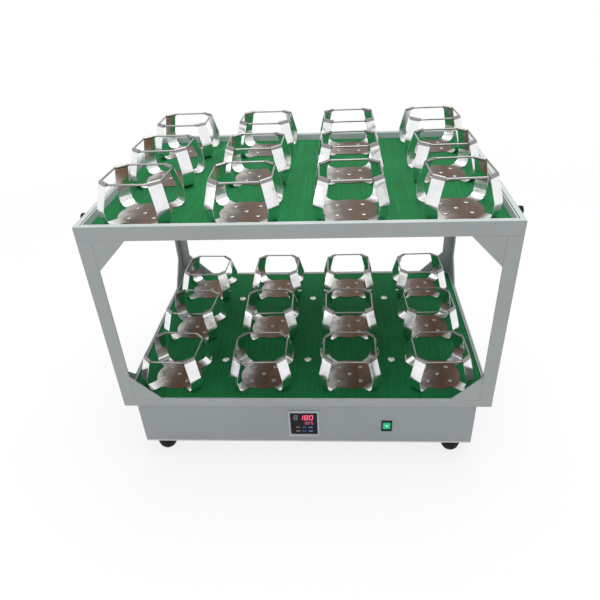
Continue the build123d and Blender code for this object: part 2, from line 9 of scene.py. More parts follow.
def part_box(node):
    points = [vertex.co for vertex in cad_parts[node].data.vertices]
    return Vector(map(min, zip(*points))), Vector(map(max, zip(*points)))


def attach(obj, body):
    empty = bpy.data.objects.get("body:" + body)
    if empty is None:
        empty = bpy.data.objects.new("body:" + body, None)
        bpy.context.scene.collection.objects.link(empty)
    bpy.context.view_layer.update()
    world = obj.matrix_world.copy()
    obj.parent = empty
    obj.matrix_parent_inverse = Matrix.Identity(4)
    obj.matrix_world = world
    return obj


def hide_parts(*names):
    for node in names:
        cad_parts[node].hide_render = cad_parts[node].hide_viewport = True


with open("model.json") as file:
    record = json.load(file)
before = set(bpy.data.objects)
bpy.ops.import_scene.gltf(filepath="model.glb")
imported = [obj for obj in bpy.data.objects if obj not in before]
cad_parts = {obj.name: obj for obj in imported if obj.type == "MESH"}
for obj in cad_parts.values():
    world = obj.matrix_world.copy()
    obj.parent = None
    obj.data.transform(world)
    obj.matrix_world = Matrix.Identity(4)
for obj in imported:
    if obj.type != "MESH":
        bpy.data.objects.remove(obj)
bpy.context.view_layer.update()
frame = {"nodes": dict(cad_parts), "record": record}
nodes = frame["nodes"]
MM = 0.001
finish = {}


def box_mm(node):
    """Lowest and highest corners of a CAD node at rest, in millimetres."""
    low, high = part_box(node)
    return low / MM, high / MM


def top_of(node):
    return round(box_mm(node)[1].z, 3)


# Sizes shared with the CAD source, in millimetres
LOWER_MAT_TOP = top_of("lower_mat")
UPPER_MAT_TOP = top_of("upper_mat")
CLAMP_PITCH = 160
CLAMP_COLUMNS = [step * CLAMP_PITCH for step in (-1.5, -0.5, 0.5, 1.5)]
CLAMP_ROWS = {"front": -CLAMP_PITCH, "middle": 0, "back": CLAMP_PITCH}
CLAMP_SHEET = 1.2
PLATE_RADIUS = 42
ARM_HALF_WIDTH = 11
RING_FLATS = 92
RING_CORNER_CUT = 17
RING_HEIGHT = 63
WIRE_RADIUS = 1.5
FOOT_RADIUS = 18


# Parts: pairs of verts and faces, in millimetres
def turned(axis, degrees):
    return Matrix.Rotation(radians(degrees), 4, axis)


def moved(part, matrix):
    verts, faces = part
    return [matrix @ Vector(v) for v in verts], faces


def merge(parts):
    """Joins parts into one."""
    verts, faces = [], []
    for some_verts, some_faces in parts:
        start = len(verts)
        verts += some_verts
        faces += [tuple(start + i for i in face) for face in some_faces]
    return verts, faces


def copies(part, places):
    """The same part at each of some places."""
    return merge([moved(part, place) for place in places])


def arc(centre, radius, start, end, steps):
    """Points from one angle to another round a centre, both ends included."""
    angles = [start + (end - start) * step / steps for step in range(steps + 1)]
    return [(centre[0] + radius * cos(a), centre[1] + radius * sin(a)) for a in angles]


def walls(rows, sides):
    """Quads between pairs of rows of a round form, whose verts come row by row."""
    faces = []
    for i, j in rows:
        for k in range(sides):
            n = (k + 1) % sides
            faces.append((i * sides + k, i * sides + n, j * sides + n, j * sides + k))
    return faces


def lathe(profile, segments, flute=1.0):
    """Revolves (radius, height) points about Z, with every second vertex drawn in by flute."""
    verts = []
    for r, z in profile:
        for k in range(segments):
            a = 2 * pi * k / segments
            reach = r * (1.0 if k % 2 == 0 else flute)
            verts.append((reach * cos(a), reach * sin(a), z))
    last = len(profile) - 1
    faces = walls([(i, i + 1) for i in range(last)], segments)
    faces.append(tuple(range(segments - 1, -1, -1)))
    faces.append(tuple(range(last * segments, (last + 1) * segments)))
    return verts, faces


def block(low, high):
    (x0, y0, z0), (x1, y1, z1) = low, high
    verts = [(x, y, z) for z in (z0, z1) for y in (y0, y1) for x in (x0, x1)]
    faces = [(0, 2, 3, 1), (4, 5, 7, 6), (0, 1, 5, 4), (2, 6, 7, 3), (0, 4, 6, 2), (1, 3, 7, 5)]
    return verts, faces


def tube(path, radius, sides):
    """A closed round tube along a flat loop of points."""
    up = Vector((0, 0, 1))
    verts = []
    count = len(path)
    for i, point in enumerate(path):
        along = (Vector(path[(i + 1) % count]) - Vector(path[i - 1])).normalized()
        out = along.cross(up).normalized()
        for k in range(sides):
            a = 2 * pi * k / sides
            verts.append(Vector(point) + radius * (cos(a) * out + sin(a) * up))
    return verts, walls([(i, (i + 1) % count) for i in range(count)], sides)


# Pieces
def shade(mesh, angle):
    mesh.shade_smooth()
    mesh.set_sharp_from_angle(angle=radians(angle))


def mesh_object(name, part, material, smooth_angle=35):
    """An object from a part in millimetres."""
    verts, faces = moved(part, Matrix.Scale(MM, 4))
    mesh = bpy.data.meshes.new(name)
    mesh.from_pydata(verts, [], faces)
    mesh.validate()
    work = bmesh.new()
    work.from_mesh(mesh)
    bmesh.ops.remove_doubles(work, verts=work.verts, dist=1e-6)
    bmesh.ops.recalc_face_normals(work, faces=work.faces)
    work.to_mesh(mesh)
    work.free()
    obj = bpy.data.objects.new(name, mesh)
    bpy.context.scene.collection.objects.link(obj)
    mesh.materials.append(finish[material])
    shade(mesh, smooth_angle)
    return obj


def bevel(obj, width, segments, angle):
    mod = obj.modifiers.new("edges", "BEVEL")
    mod.width = width * MM
    mod.segments = segments
    mod.limit_method = "ANGLE"
    mod.angle_limit = radians(angle)


def settle(obj, smooth_angle):
    """Applies the object's modifiers to its mesh."""
    bpy.context.view_layer.update()
    evaluated = obj.evaluated_get(bpy.context.evaluated_depsgraph_get())
    made = bpy.data.meshes.new_from_object(evaluated)
    old = obj.data
    obj.modifiers.clear()
    obj.data = made
    made.name = old.name
    bpy.data.meshes.remove(old)
    shade(made, smooth_angle)


# Material nodes
def new_material(name):
    """Enters a material in the finishes under its name."""
    material = bpy.data.materials.new(name)
    material.use_nodes = True
    finish[name] = material
    tree = material.node_tree
    return tree, tree.nodes["Principled BSDF"]


def object_coords(tree, stretch=(1, 1, 1)):
    coords = tree.nodes.new("ShaderNodeTexCoord")
    mapping = tree.nodes.new("ShaderNodeMapping")
    mapping.inputs["Scale"].default_value = stretch
    tree.links.new(coords.outputs["Object"], mapping.inputs["Vector"])
    return mapping.outputs["Vector"]


def noise(tree, scale, detail=3, rough=0.55, stretch=(1, 1, 1), place=None):
    node = tree.nodes.new("ShaderNodeTexNoise")
    node.inputs["Scale"].default_value = scale
    node.inputs["Detail"].default_value = detail
    node.inputs["Roughness"].default_value = rough
    tree.links.new(place or object_coords(tree, stretch), node.inputs["Vector"])
    return node.outputs["Fac"]


def ramp(tree, value, stops):
    node = tree.nodes.new("ShaderNodeValToRGB")
    elements = node.color_ramp.elements
    while len(elements) < len(stops):
        elements.new(0.5)
    for element, (place, colour) in zip(elements, stops):
        element.position = place
        element.color = (*colour, 1)
    tree.links.new(value, node.inputs["Fac"])
    return node.outputs["Color"]


def remap(tree, value, low, high, start=0.0, end=1.0, kind="SMOOTHSTEP"):
    """Turns values between low and high into values between start and end."""
    node = tree.nodes.new("ShaderNodeMapRange")
    node.interpolation_type = kind
    for key, number in (("From Min", low), ("From Max", high), ("To Min", start), ("To Max", end)):
        node.inputs[key].default_value = number
    tree.links.new(value, node.inputs["Value"])
    return node.outputs["Result"]


def spread(tree, value, low, high):
    """Turns a noise into values between low and high."""
    return remap(tree, value, 0.3, 0.7, low, high, "LINEAR")


def mixed(tree, factor, first, second, blend="MIX"):
    """Mixes two colours, each a tuple or a socket."""
    node = tree.nodes.new("ShaderNodeMix")
    node.data_type = "RGBA"
    node.blend_type = blend
    if isinstance(factor, float):
        node.inputs["Factor"].default_value = factor
    else:
        tree.links.new(factor, node.inputs["Factor"])
    for key, source in (("A", first), ("B", second)):
        socket = next(s for s in node.inputs if s.name == key and s.type == "RGBA")
        if isinstance(source, tuple):
            socket.default_value = (*source, 1)
        else:
            tree.links.new(source, socket)
    return next(s for s in node.outputs if s.type == "RGBA")


def mixed_value(tree, factor, first, second):
    """Mixes two numbers, each a socket."""
    node = tree.nodes.new("ShaderNodeMix")
    for index, source in ((0, factor), (2, first), (3, second)):
        tree.links.new(source, node.inputs[index])
    return node.outputs[0]


def calc(tree, operation, *sources, clamp=False):
    """One step of arithmetic on numbers or sockets."""
    node = tree.nodes.new("ShaderNodeMath")
    node.operation = operation
    node.use_clamp = clamp
    for socket, source in zip(node.inputs, sources):
        if isinstance(source, (int, float)):
            socket.default_value = source
        else:
            tree.links.new(source, socket)
    return node.outputs[0]


def axes(tree, vector):
    node = tree.nodes.new("ShaderNodeSeparateXYZ")
    tree.links.new(vector, node.inputs["Vector"])
    return [node.outputs[axis] for axis in "XYZ"]


def bumped(tree, shader, height, strength, distance):
    node = tree.nodes.new("ShaderNodeBump")
    node.inputs["Strength"].default_value = strength
    node.inputs["Distance"].default_value = distance
    tree.links.new(height, node.inputs["Height"])
    tree.links.new(node.outputs["Normal"], shader.inputs["Normal"])


def varied(tree, cloud, colour, darker, paler, low=0.3, high=0.7):
    """A colour that a noise takes from darker to paler."""
    ends = [tuple(min(1.0, c * amount) for c in colour) for amount in (darker, paler)]
    return ramp(tree, cloud, [(low, ends[0]), (high, ends[1])])


# Finishes
def paint(name, colour, rough, uneven=0.05, peel=0.12, top=None):
    """Sprayed paint: slightly uneven, with a fine orange peel. Faces that look up take the colour top, a
    painted highlight for the light from above.
    """
    tree, shader = new_material(name)
    tone = varied(tree, noise(tree, 7, detail=4), colour, 1 - uneven, 1 + uneven)
    # Painted light: faces that look up are mixed towards the paler top colour
    if top:
        coords = tree.nodes.new("ShaderNodeTexCoord")
        upward = axes(tree, coords.outputs["Normal"])[2]
        tone = mixed(tree, remap(tree, upward, 0.6, 0.95), tone, top)
    tree.links.new(tone, shader.inputs["Base Color"])
    tree.links.new(spread(tree, noise(tree, 60), rough - 0.05, rough + 0.06), shader.inputs["Roughness"])
    bumped(tree, shader, noise(tree, 420, detail=2), peel, distance=0.0004)


def plastic(name, colour, rough, grain=0.15, gloss=None):
    """Moulded plastic or rubber with a fine grain. A low gloss is for deep blacks."""
    tree, shader = new_material(name)
    tone = varied(tree, noise(tree, 90, detail=2), colour, 0.92, 1.08)
    tree.links.new(tone, shader.inputs["Base Color"])
    if gloss:
        shader.inputs["Specular IOR Level"].default_value = gloss
    cloud = noise(tree, 300, detail=2)
    tree.links.new(spread(tree, cloud, rough - 0.05, rough + 0.05), shader.inputs["Roughness"])
    bumped(tree, shader, noise(tree, 1500, detail=2), grain, distance=0.0002)


def metal(name, colour, rough, uneven=0.08, stretch=(1, 1, 1), scratch=0.1):
    """Bright metal with faint scratches and an uneven polish."""
    tree, shader = new_material(name)
    tone = varied(tree, noise(tree, 40, detail=4), colour, 1 - uneven, 1 + uneven, 0.25, 0.75)
    tree.links.new(tone, shader.inputs["Base Color"])
    shader.inputs["Metallic"].default_value = 1.0
    streaks = noise(tree, 260, detail=5, rough=0.7, stretch=stretch)
    tree.links.new(spread(tree, streaks, rough - 0.08, rough + 0.1), shader.inputs["Roughness"])
    bumped(tree, shader, streaks, scratch, distance=0.0002)


def lit(name, colour, glow, strength):
    """A lamp or display segment that gives a little light of its own. It also makes painted light: the
    glowing highlight on the rocker and the faint glow of the unlit digit.
    """
    tree, shader = new_material(name)
    tone = varied(tree, noise(tree, 250, detail=2), colour, 0.85, 1.1, 0.2, 0.8)
    tree.links.new(tone, shader.inputs["Base Color"])
    shader.inputs["Roughness"].default_value = 0.25
    shader.inputs["Emission Color"].default_value = (*glow, 1)
    shader.inputs["Emission Strength"].default_value = strength


def ribbed_mat(name):
    """Green rubber with fine ribs from front to back and lighter streaks of wear."""
    tree, shader = new_material(name)
    streaks = noise(tree, 1, detail=6, rough=0.75, stretch=(420, 9, 40))
    dark = ramp(tree, streaks, [(0.28, (0.001, 0.058, 0.013)), (0.50, (0.003, 0.126, 0.032)),
                                (0.76, (0.018, 0.250, 0.082))])
    clouds = ramp(tree, noise(tree, 9, rough=0.6), [(0.3, (0.002, 0.080, 0.018)),
                                                    (0.7, (0.006, 0.190, 0.056))])
    tree.links.new(mixed(tree, 0.30, dark, clouds), shader.inputs["Base Color"])
    shader.inputs["Specular IOR Level"].default_value = 0.15
    tree.links.new(spread(tree, streaks, 0.62, 0.82), shader.inputs["Roughness"])
    ribs = tree.nodes.new("ShaderNodeTexWave")
    ribs.wave_type = "BANDS"
    ribs.bands_direction = "X"
    ribs.inputs["Scale"].default_value = 62
    ribs.inputs["Distortion"].default_value = 0.0
    tree.links.new(object_coords(tree), ribs.inputs["Vector"])
    bumped(tree, shader, ribs.outputs["Fac"], 0.35, distance=0.0006)


def clamp_metal(name):
    """Bright arms with darker rolled ends, and a plate spun in fine circles under a painted reflection, brown
    and pale at its left edge.
    """
    tree, shader = new_material(name)
    x, y, z = axes(tree, object_coords(tree))

    # Places within one clamp, from its own axis and its mat, the same for all of them
    half = CLAMP_PITCH * MM / 2
    x = calc(tree, "WRAP", calc(tree, "ADD", x, half), half, -half)
    y = calc(tree, "WRAP", y, half, -half)
    height = calc(tree, "WRAP", z, UPPER_MAT_TOP * MM, LOWER_MAT_TOP * MM)
    radius = calc(tree, "SQRT", calc(tree, "ADD", calc(tree, "MULTIPLY", x, x), calc(tree, "MULTIPLY", y, y)))

    # 1 on the flat plate and 0 up the arms, then 1 on the ends that are rolled round the wire
    low = remap(tree, height, (LOWER_MAT_TOP + 2) * MM, (LOWER_MAT_TOP + 6) * MM, 1.0, 0.0)
    plate = calc(tree, "MULTIPLY", low, remap(tree, radius, PLATE_RADIUS * MM, 0.060, 1.0, 0.0))
    rolled_from = LOWER_MAT_TOP + RING_HEIGHT - 3.2
    rolled = remap(tree, height, rolled_from * MM, (rolled_from + 1.0) * MM)

    # Plate: a painted reflection, pale at its left edge and brown towards the right, over real spun circles
    # and specks
    spun = tree.nodes.new("ShaderNodeCombineXYZ")
    tree.links.new(calc(tree, "MULTIPLY", radius, 900.0), spun.inputs["X"])
    tree.links.new(calc(tree, "ARCTAN2", y, x), spun.inputs["Y"])
    circles = noise(tree, 1, rough=0.5, place=spun.outputs["Vector"])
    speck = noise(tree, 520, rough=0.8)
    uneven = calc(tree, "MULTIPLY_ADD", noise(tree, 30, detail=4, rough=0.6), 0.7, -0.35)
    across = calc(tree, "ADD", remap(tree, x, -0.045, 0.040), uneven)
    painted_reflection = ramp(tree, across, [(0.02, (0.66, 0.64, 0.63)), (0.16, (0.30, 0.27, 0.25)),
                                  (0.38, (0.150, 0.118, 0.098)), (0.70, (0.135, 0.072, 0.040)),
                                  (1.0, (0.17, 0.115, 0.085))])
    lines = ramp(tree, circles, [(0.30, (0.62, 0.60, 0.58)), (0.70, (1.0, 1.0, 1.0))])
    grains = ramp(tree, speck, [(0.32, (0.66, 0.62, 0.60)), (0.64, (1.0, 1.0, 1.0))])
    # The plate's colour: the painted reflection, times the real spun circles and specks
    reflection_and_grain = mixed(tree, 0.55, mixed(tree, 0.6, painted_reflection, lines, "MULTIPLY"), grains, "MULTIPLY")

    bright = ramp(tree, noise(tree, 40, detail=4), [(0.25, (0.80, 0.80, 0.81)), (0.75, (0.92, 0.92, 0.93))])
    arm = mixed(tree, rolled, bright, (0.29, 0.28, 0.275))
    tree.links.new(mixed(tree, plate, arm, reflection_and_grain), shader.inputs["Base Color"])
    shader.inputs["Metallic"].default_value = 1.0
    polish = spread(tree, noise(tree, 260, detail=5, rough=0.7), 0.09, 0.20)
    dull = spread(tree, speck, 0.26, 0.46)
    tree.links.new(mixed_value(tree, plate, polish, dull), shader.inputs["Roughness"])
    bumped(tree, shader, speck, 0.12, distance=0.0002)


BLACK_GLOSS = 0.18
# The top colours of frame_paint and tray_paint are painted light from above, not another paint
paint("frame_paint", (0.325, 0.352, 0.347), 0.45, top=(0.45, 0.49, 0.48))
paint("base_paint", (0.305, 0.330, 0.340), 0.45)
paint("tray_paint", (0.46, 0.51, 0.50), 0.42, top=(0.50, 0.55, 0.54))
metal("plate_steel", (0.55, 0.55, 0.54), 0.42, stretch=(1, 6, 1))
paint("cast_block", (0.10, 0.115, 0.13), 0.55, 0.12, 0.3)
metal("bearing_steel", (0.62, 0.62, 0.63), 0.22)
metal("pulley_metal", (0.74, 0.75, 0.76), 0.32)
paint("counterweight_iron", (0.07, 0.07, 0.075), 0.6, 0.2, 0.4)
paint("motor_case", (0.03, 0.03, 0.034), 0.45, 0.1, 0.2)
plastic("foot_rubber", (0.004, 0.004, 0.004), 0.6, 0.25, BLACK_GLOSS)
# The pads sit in the gap between the rails and the trays; their near-black also stands in for the shade in
# that gap, partly painted shade
plastic("pad_rubber", (0.010, 0.010, 0.010), 0.7, 0.3)
plastic("belt_rubber", (0.012, 0.012, 0.012), 0.6, 0.3)
plastic("knob_black", (0.010, 0.010, 0.012), 0.38, 0.2, BLACK_GLOSS)
plastic("bezel_plastic", (0.40, 0.43, 0.47), 0.4)
plastic("window_black", (0.006, 0.006, 0.012), 0.12, 0.02, BLACK_GLOSS)
plastic("module_black", (0.012, 0.012, 0.013), 0.5)
plastic("switch_black", (0.008, 0.010, 0.009), 0.32, gloss=BLACK_GLOSS)
plastic("inlet_black", (0.010, 0.010, 0.011), 0.45)
plastic("board_green", (0.010, 0.12, 0.05), 0.35, 0.1)
metal("stud_steel", (0.55, 0.55, 0.56), 0.3, stretch=(1, 20, 20))
metal("ring_wire", (0.28, 0.272, 0.268), 0.12, 0.15, scratch=0.05)
metal("screw_steel", (0.42, 0.40, 0.385), 0.28)
# Painted shade: near-black crosses that stand in for the shade inside the screws' recesses
metal("screw_recess_shade", (0.06, 0.06, 0.06), 0.5)
metal("bolt_steel", (0.80, 0.79, 0.78), 0.2)
plastic("key_dark", (0.008, 0.011, 0.028), 0.35, gloss=BLACK_GLOSS)
plastic("mark_orange", (0.42, 0.15, 0.08), 0.4)
plastic("mark_ochre", (0.36, 0.30, 0.08), 0.4)
plastic("mark_blue", (0.04, 0.16, 0.48), 0.4)
plastic("mark_light", (0.14, 0.34, 0.60), 0.4)
lit("rocker_green", (0.01, 0.32, 0.14), glow=(0.01, 0.40, 0.17), strength=0.55)
# The rocker's small dome is a painted highlight: it glows in place of a reflection
lit("rocker_painted_glint", (0.20, 0.75, 0.50), glow=(0.15, 0.80, 0.50), strength=0.75)
lit("digit_red", (0.45, 0.03, 0.06), glow=(1.0, 0.10, 0.20), strength=1.1)
lit("digit_small", (0.30, 0.05, 0.10), glow=(0.75, 0.12, 0.25), strength=0.6)
# Painted light: the unlit digit's segments are given a faint glow of their own
lit("digit_dim", (0.12, 0.12, 0.15), glow=(0.20, 0.20, 0.24), strength=0.35)
ribbed_mat("mat_green")
clamp_metal("clamp_steel")

# The record's slots have finishes of the same name, except for the keys, which are all dark
KEY_SLOTS = ("key_brown", "key_blue")
for entry in frame["record"]["subparts"]:
    slot = entry["material_slot"]
    slots = nodes[entry["node"]].data.materials
    slots.clear()
    slots.append(finish["key_dark" if slot in KEY_SLOTS else slot])


# Soft edges on the painted steelwork and the covers, which also draw the joints between the pieces
def soften(node, width):
    weld = nodes[node].modifiers.new("weld", "WELD")
    weld.merge_threshold = 1e-5
    bevel(nodes[node], width, 2, 30)


EDGES = {
    "lower_frame": 0.7, "upper_frame": 0.7, "uprights": 0.7, "gussets": 0.6, "base_housing": 1.0,
    "lower_tray": 0.5, "upper_tray": 0.5, "display_bezel": 0.6, "switch_body": 0.5, "power_inlet": 0.5,
    "drive_motor": 0.8,
}
for node, width in EDGES.items():
    soften(node, width)

# Keys, each with a mark of two small bars
KEY_EDGE = 0.4
LEFT_COLUMN_END = -10
RIGHT_COLUMN_START = 4
UPPER_ROW_START = 60
MARK_OFFSET = 1.9
MARK_HALF_WIDTH = 1.5
MARK_HALF_HEIGHT = 1.3
MARK_PROUD = 0.1
MARK_SUNK = 0.3


def mark_finish(low, high):
    """Orange over ochre in the left column, then a blue column and a light blue one."""
    if high.x < LEFT_COLUMN_END:
        return "mark_orange" if low.z > UPPER_ROW_START else "mark_ochre"
    return "mark_light" if high.x > RIGHT_COLUMN_START else "mark_blue"


for number in range(1, 7):
    soften(f"panel_key_{number}", KEY_EDGE)
    low, high = box_mm(f"panel_key_{number}")
    middle = (low + high) / 2
    bars = [block((x - MARK_HALF_WIDTH, low.y - MARK_PROUD, middle.z - MARK_HALF_HEIGHT),
                  (x + MARK_HALF_WIDTH, low.y + MARK_SUNK, middle.z + MARK_HALF_HEIGHT))
            for x in (middle.x - MARK_OFFSET, middle.x + MARK_OFFSET)]
    piece = mesh_object(f"key_mark_{number}", merge(bars), mark_finish(low, high))
    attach(piece, f"key_{number}")

# Flask clamps: a plate with four arms that curve up, bulge, lean in and roll over the wire
ARM_BULGE = [(63.6, 4.2), (65.3, 8.2), (66.2, 13), (66.9, 19.5), (67.3, 25.2), (67.1, 27.2)]
LEAN_STEPS = 4
ROLL_STEPS = 14
ROLL_DEGREES = 305
PLATE_FILLET = 7


def arm_profile():
    """Middle of the sheet, from the plate outwards and up, as (radius, height)."""
    half = CLAMP_SHEET / 2
    wire_r, wire_z = (RING_FLATS - RING_CORNER_CUT) / sqrt(2), RING_HEIGHT
    elbow_r, elbow_z = ARM_BULGE[-1]
    reach_r, reach_z = wire_r - elbow_r, wire_z - elbow_z
    roll = WIRE_RADIUS + half
    start = atan2(reach_z, reach_r) - atan2(roll, hypot(reach_r, reach_z)) - pi / 2
    rolled = arc((wire_r, wire_z), roll, start, start + radians(ROLL_DEGREES), ROLL_STEPS)
    touch_r, touch_z = rolled[0]
    shares = [step / LEAN_STEPS for step in range(1, LEAN_STEPS)]
    lean = [(elbow_r + s * (touch_r - elbow_r), elbow_z + s * (touch_z - elbow_z)) for s in shares]
    return [(51, half), (56.5, half + 0.2), (60.5, half + 1.3)] + ARM_BULGE + lean + rolled


def clamp_part():
    """One clamp about its own axis: a round plate, filleted into the roots of four arms."""
    half = CLAMP_SHEET / 2
    centre_y = ARM_HALF_WIDTH + PLATE_FILLET
    centre_x = sqrt((PLATE_RADIUS + PLATE_FILLET) ** 2 - centre_y ** 2)
    meet = atan2(centre_y, centre_x)
    fillet = arc((centre_x, centre_y), PLATE_FILLET, 1.5 * pi, pi + meet, 6)
    rim = arc((0, 0), PLATE_RADIUS, meet, pi / 2 - meet, 8)[1:-1]
    quarter = [(centre_x, 0.0)] + fillet + rim + [(y, x) for x, y in reversed(fillet)]
    outline = []
    for turn in range(4):
        c, s = cos(turn * pi / 2), sin(turn * pi / 2)
        outline += [(c * x - s * y, s * x + c * y, half) for x, y in quarter]
    count = len(outline)
    plate = [(0, 0, half)] + outline, [(0, 1 + i, 1 + (i + 1) % count) for i in range(count)]
    profile = [(centre_x, half)] + arm_profile()
    arm_verts = [(r, y, z) for r, z in profile for y in (-ARM_HALF_WIDTH, 0, ARM_HALF_WIDTH)]
    arm_faces = [(a, a + 1, a + 4, a + 3) for i in range(len(profile) - 1) for a in (3 * i, 3 * i + 1)]
    arms = [moved((arm_verts, arm_faces), turned("Z", 90 * turn)) for turn in range(4)]
    return merge([plate] + arms)


def ring_part():
    """The octagonal wire ring, its corners eased."""
    half, cut = RING_FLATS / 2, RING_CORNER_CUT
    corners = [(half, cut - half), (half, half - cut), (half - cut, half), (cut - half, half),
               (-half, half - cut), (-half, cut - half), (cut - half, -half), (half - cut, -half)]
    corners = [Vector((x, y, RING_HEIGHT)) for x, y in corners]
    ease, steps = 2.2, 3
    path = []
    for i, here in enumerate(corners):
        start = here + (corners[i - 1] - here).normalized() * ease
        end = here + (corners[(i + 1) % 8] - here).normalized() * ease
        for t in (step / steps for step in range(steps + 1)):
            path.append((1 - t) ** 2 * start + 2 * t * (1 - t) * here + t * t * end)
    return tube(path, WIRE_RADIUS, 10)


SCREW_DOME = [(1, 0), (1, 0.25), (0.93, 0.6), (0.7, 0.9), (0.4, 1)]


def screw_part(radius, height):
    """A domed cross-head screw: the head, then its recess, drawn as a near-black cross that is painted shade
    in place of a hollow.
    """
    head = lathe([(r * radius, z * height) for r, z in SCREW_DOME], 20)
    long, short, low, top = 0.55 * radius, 0.16 * radius, 0.5 * height, height + 0.03
    recess = merge([block((-x, -y, low), (x, y, top)) for x, y in ((long, short), (short, long))])
    return head, recess


CLAMP = clamp_part()
RING = ring_part()
PLATE_SCREW, PLATE_SCREW_RECESS = screw_part(3.7, 1.5)
PLATE_SCREW_OFFSET = 20
PLATE_SCREW_PLACES = [(0, 0)] + [(x, y) for x in (PLATE_SCREW_OFFSET, -PLATE_SCREW_OFFSET)
                                 for y in (PLATE_SCREW_OFFSET, -PLATE_SCREW_OFFSET)]

# How far each clamp of a row is turned, in degrees, as they are never quite in line
TURNS = {
    ("upper", "front"): (-2.0, 1.0, 1.5, 3.0), ("upper", "middle"): (-1.0, 0.0, 2.0, 2.0),
    ("upper", "back"): (0.5, -1.0, 1.0, 3.0), ("lower", "front"): (-3.0, 1.0, 0.0, 2.0),
    ("lower", "middle"): (-3.0, 1.5, 0.5, 3.0), ("lower", "back"): (-2.0, -1.0, 1.0, 1.5),
}


def clamp_row(deck, row, mat_top, body):
    """Four clamps side by side, with their wires and screws. Each screw's cross is turned its own way."""
    places, seats = [], []
    for column_x, turn in zip(CLAMP_COLUMNS, TURNS[deck, row]):
        place = Matrix.Translation((column_x, CLAMP_ROWS[row], mat_top)) @ turned("Z", turn)
        places.append(place)
        for index, (x, y) in enumerate(PLATE_SCREW_PLACES):
            seat = place @ Matrix.Translation((x, y, CLAMP_SHEET))
            seats.append(seat @ turned("Z", 37 * index + 11 * turn))

    # The arms stand on the diagonals, at the cut corners of the ring
    diagonals = [place @ turned("Z", 45) for place in places]
    pressing = mesh_object(f"clamp_pressings_{deck}_{row}", copies(CLAMP, diagonals), "clamp_steel")
    shell = pressing.modifiers.new("sheet", "SOLIDIFY")
    shell.thickness = CLAMP_SHEET * MM
    shell.offset = 0
    shell.use_even_offset = True
    bevel(pressing, 0.22, 1, 60)
    settle(pressing, 30)
    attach(pressing, body)
    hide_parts(f"clamps_{deck}_{row}")

    wires = mesh_object(f"clamp_wires_{deck}_{row}", copies(RING, places), "ring_wire", 60)
    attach(wires, body)
    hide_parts(f"rings_{deck}_{row}")

    screws = mesh_object(f"clamp_screws_{deck}_{row}", copies(PLATE_SCREW, seats), "screw_steel", 50)
    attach(screws, body)
    recesses = copies(PLATE_SCREW_RECESS, seats)
    crosses = mesh_object(f"clamp_screw_recesses_{deck}_{row}", recesses, "screw_recess_shade")
    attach(crosses, body)


for deck, mat_top, body in (("lower", LOWER_MAT_TOP, "carriage"), ("upper", UPPER_MAT_TOP, "upper_deck")):
    for row in CLAMP_ROWS:
        clamp_row(deck, row, mat_top, body)

# Domed bolts that hold the lower tray down, on washers
WASHER_HEIGHT = 1.0
washer = lathe([(6.6, 0), (6.6, 0.7), (6.3, WASHER_HEIGHT), (4.4, WASHER_HEIGHT)], 28)
bolt, bolt_recess = screw_part(4.6, 2.8)
bolt_places = [(x, y) for x in (-CLAMP_PITCH, 0, CLAMP_PITCH) for y in (-115, 115)]
for name, part, lift, material in (("tray_bolts", bolt, WASHER_HEIGHT, "bolt_steel"),
                                   ("tray_bolt_washers", washer, 0, "bolt_steel"),
                                   ("tray_bolt_recesses", bolt_recess, WASHER_HEIGHT, "screw_recess_shade")):
    places = [Matrix.Translation((x, y, LOWER_MAT_TOP + lift)) for x, y in bolt_places]
    piece = mesh_object(name, copies(part, places), material, 50)
    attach(piece, "carriage")

# Rubber feet with rounded treads
FOOT_PROFILE = [(7, 0), (10.5, 0.7), (13.4, 2.8), (15.6, 6.2), (17.1, 10.5), (17.8, 15), (FOOT_RADIUS, 19),
                (FOOT_RADIUS, 25), (17.4, 26.4), (16, 27)]
low, high = box_mm("rubber_feet")
places = [Matrix.Translation((x, y, 0)) for x in (low.x + FOOT_RADIUS, high.x - FOOT_RADIUS)
          for y in (low.y + FOOT_RADIUS, high.y - FOOT_RADIUS)]
rubber = mesh_object("round_feet", copies(lathe(FOOT_PROFILE, 40), places), "foot_rubber", 50)
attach(rubber, "base")
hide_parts("rubber_feet")

# Knurled hand screws
KNOB_RADIUS = 7
KNOB_LENGTH = 9
KNOB_RIDGES = 28
KNOB_FLUTE = 0.94
KNOB_PROFILE = [(0.86, 0.0), (1.0, 0.1), (1.0, 0.82), (0.93, 0.94), (0.80, 1.0)]
knob = lathe([(KNOB_RADIUS * r, KNOB_LENGTH * z) for r, z in KNOB_PROFILE], 2 * KNOB_RIDGES, KNOB_FLUTE)
for side, direction in (("left", -1), ("right", 1)):
    low, high = box_mm(f"lock_knob_{side}")
    middle = (low + high) / 2
    inner_x = low.x if direction > 0 else high.x
    seat = Matrix.Translation((inner_x, middle.y, middle.z)) @ turned("Y", 90 * direction)
    piece = mesh_object(f"hand_knob_{side}", moved(knob, seat), "knob_black", 25)
    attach(piece, f"knob_{side}")
    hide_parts(f"lock_knob_{side}")

# Display: lit seven-segment digits on the window
SEGMENTS = {"0": "abcdef", "1": "bc", "5": "afgcd", "8": "abcdefg"}
SLANT = 0.12
BAR_GAP = 0.3
BAR_PROUD = 0.12
BAR_SUNK = 0.3


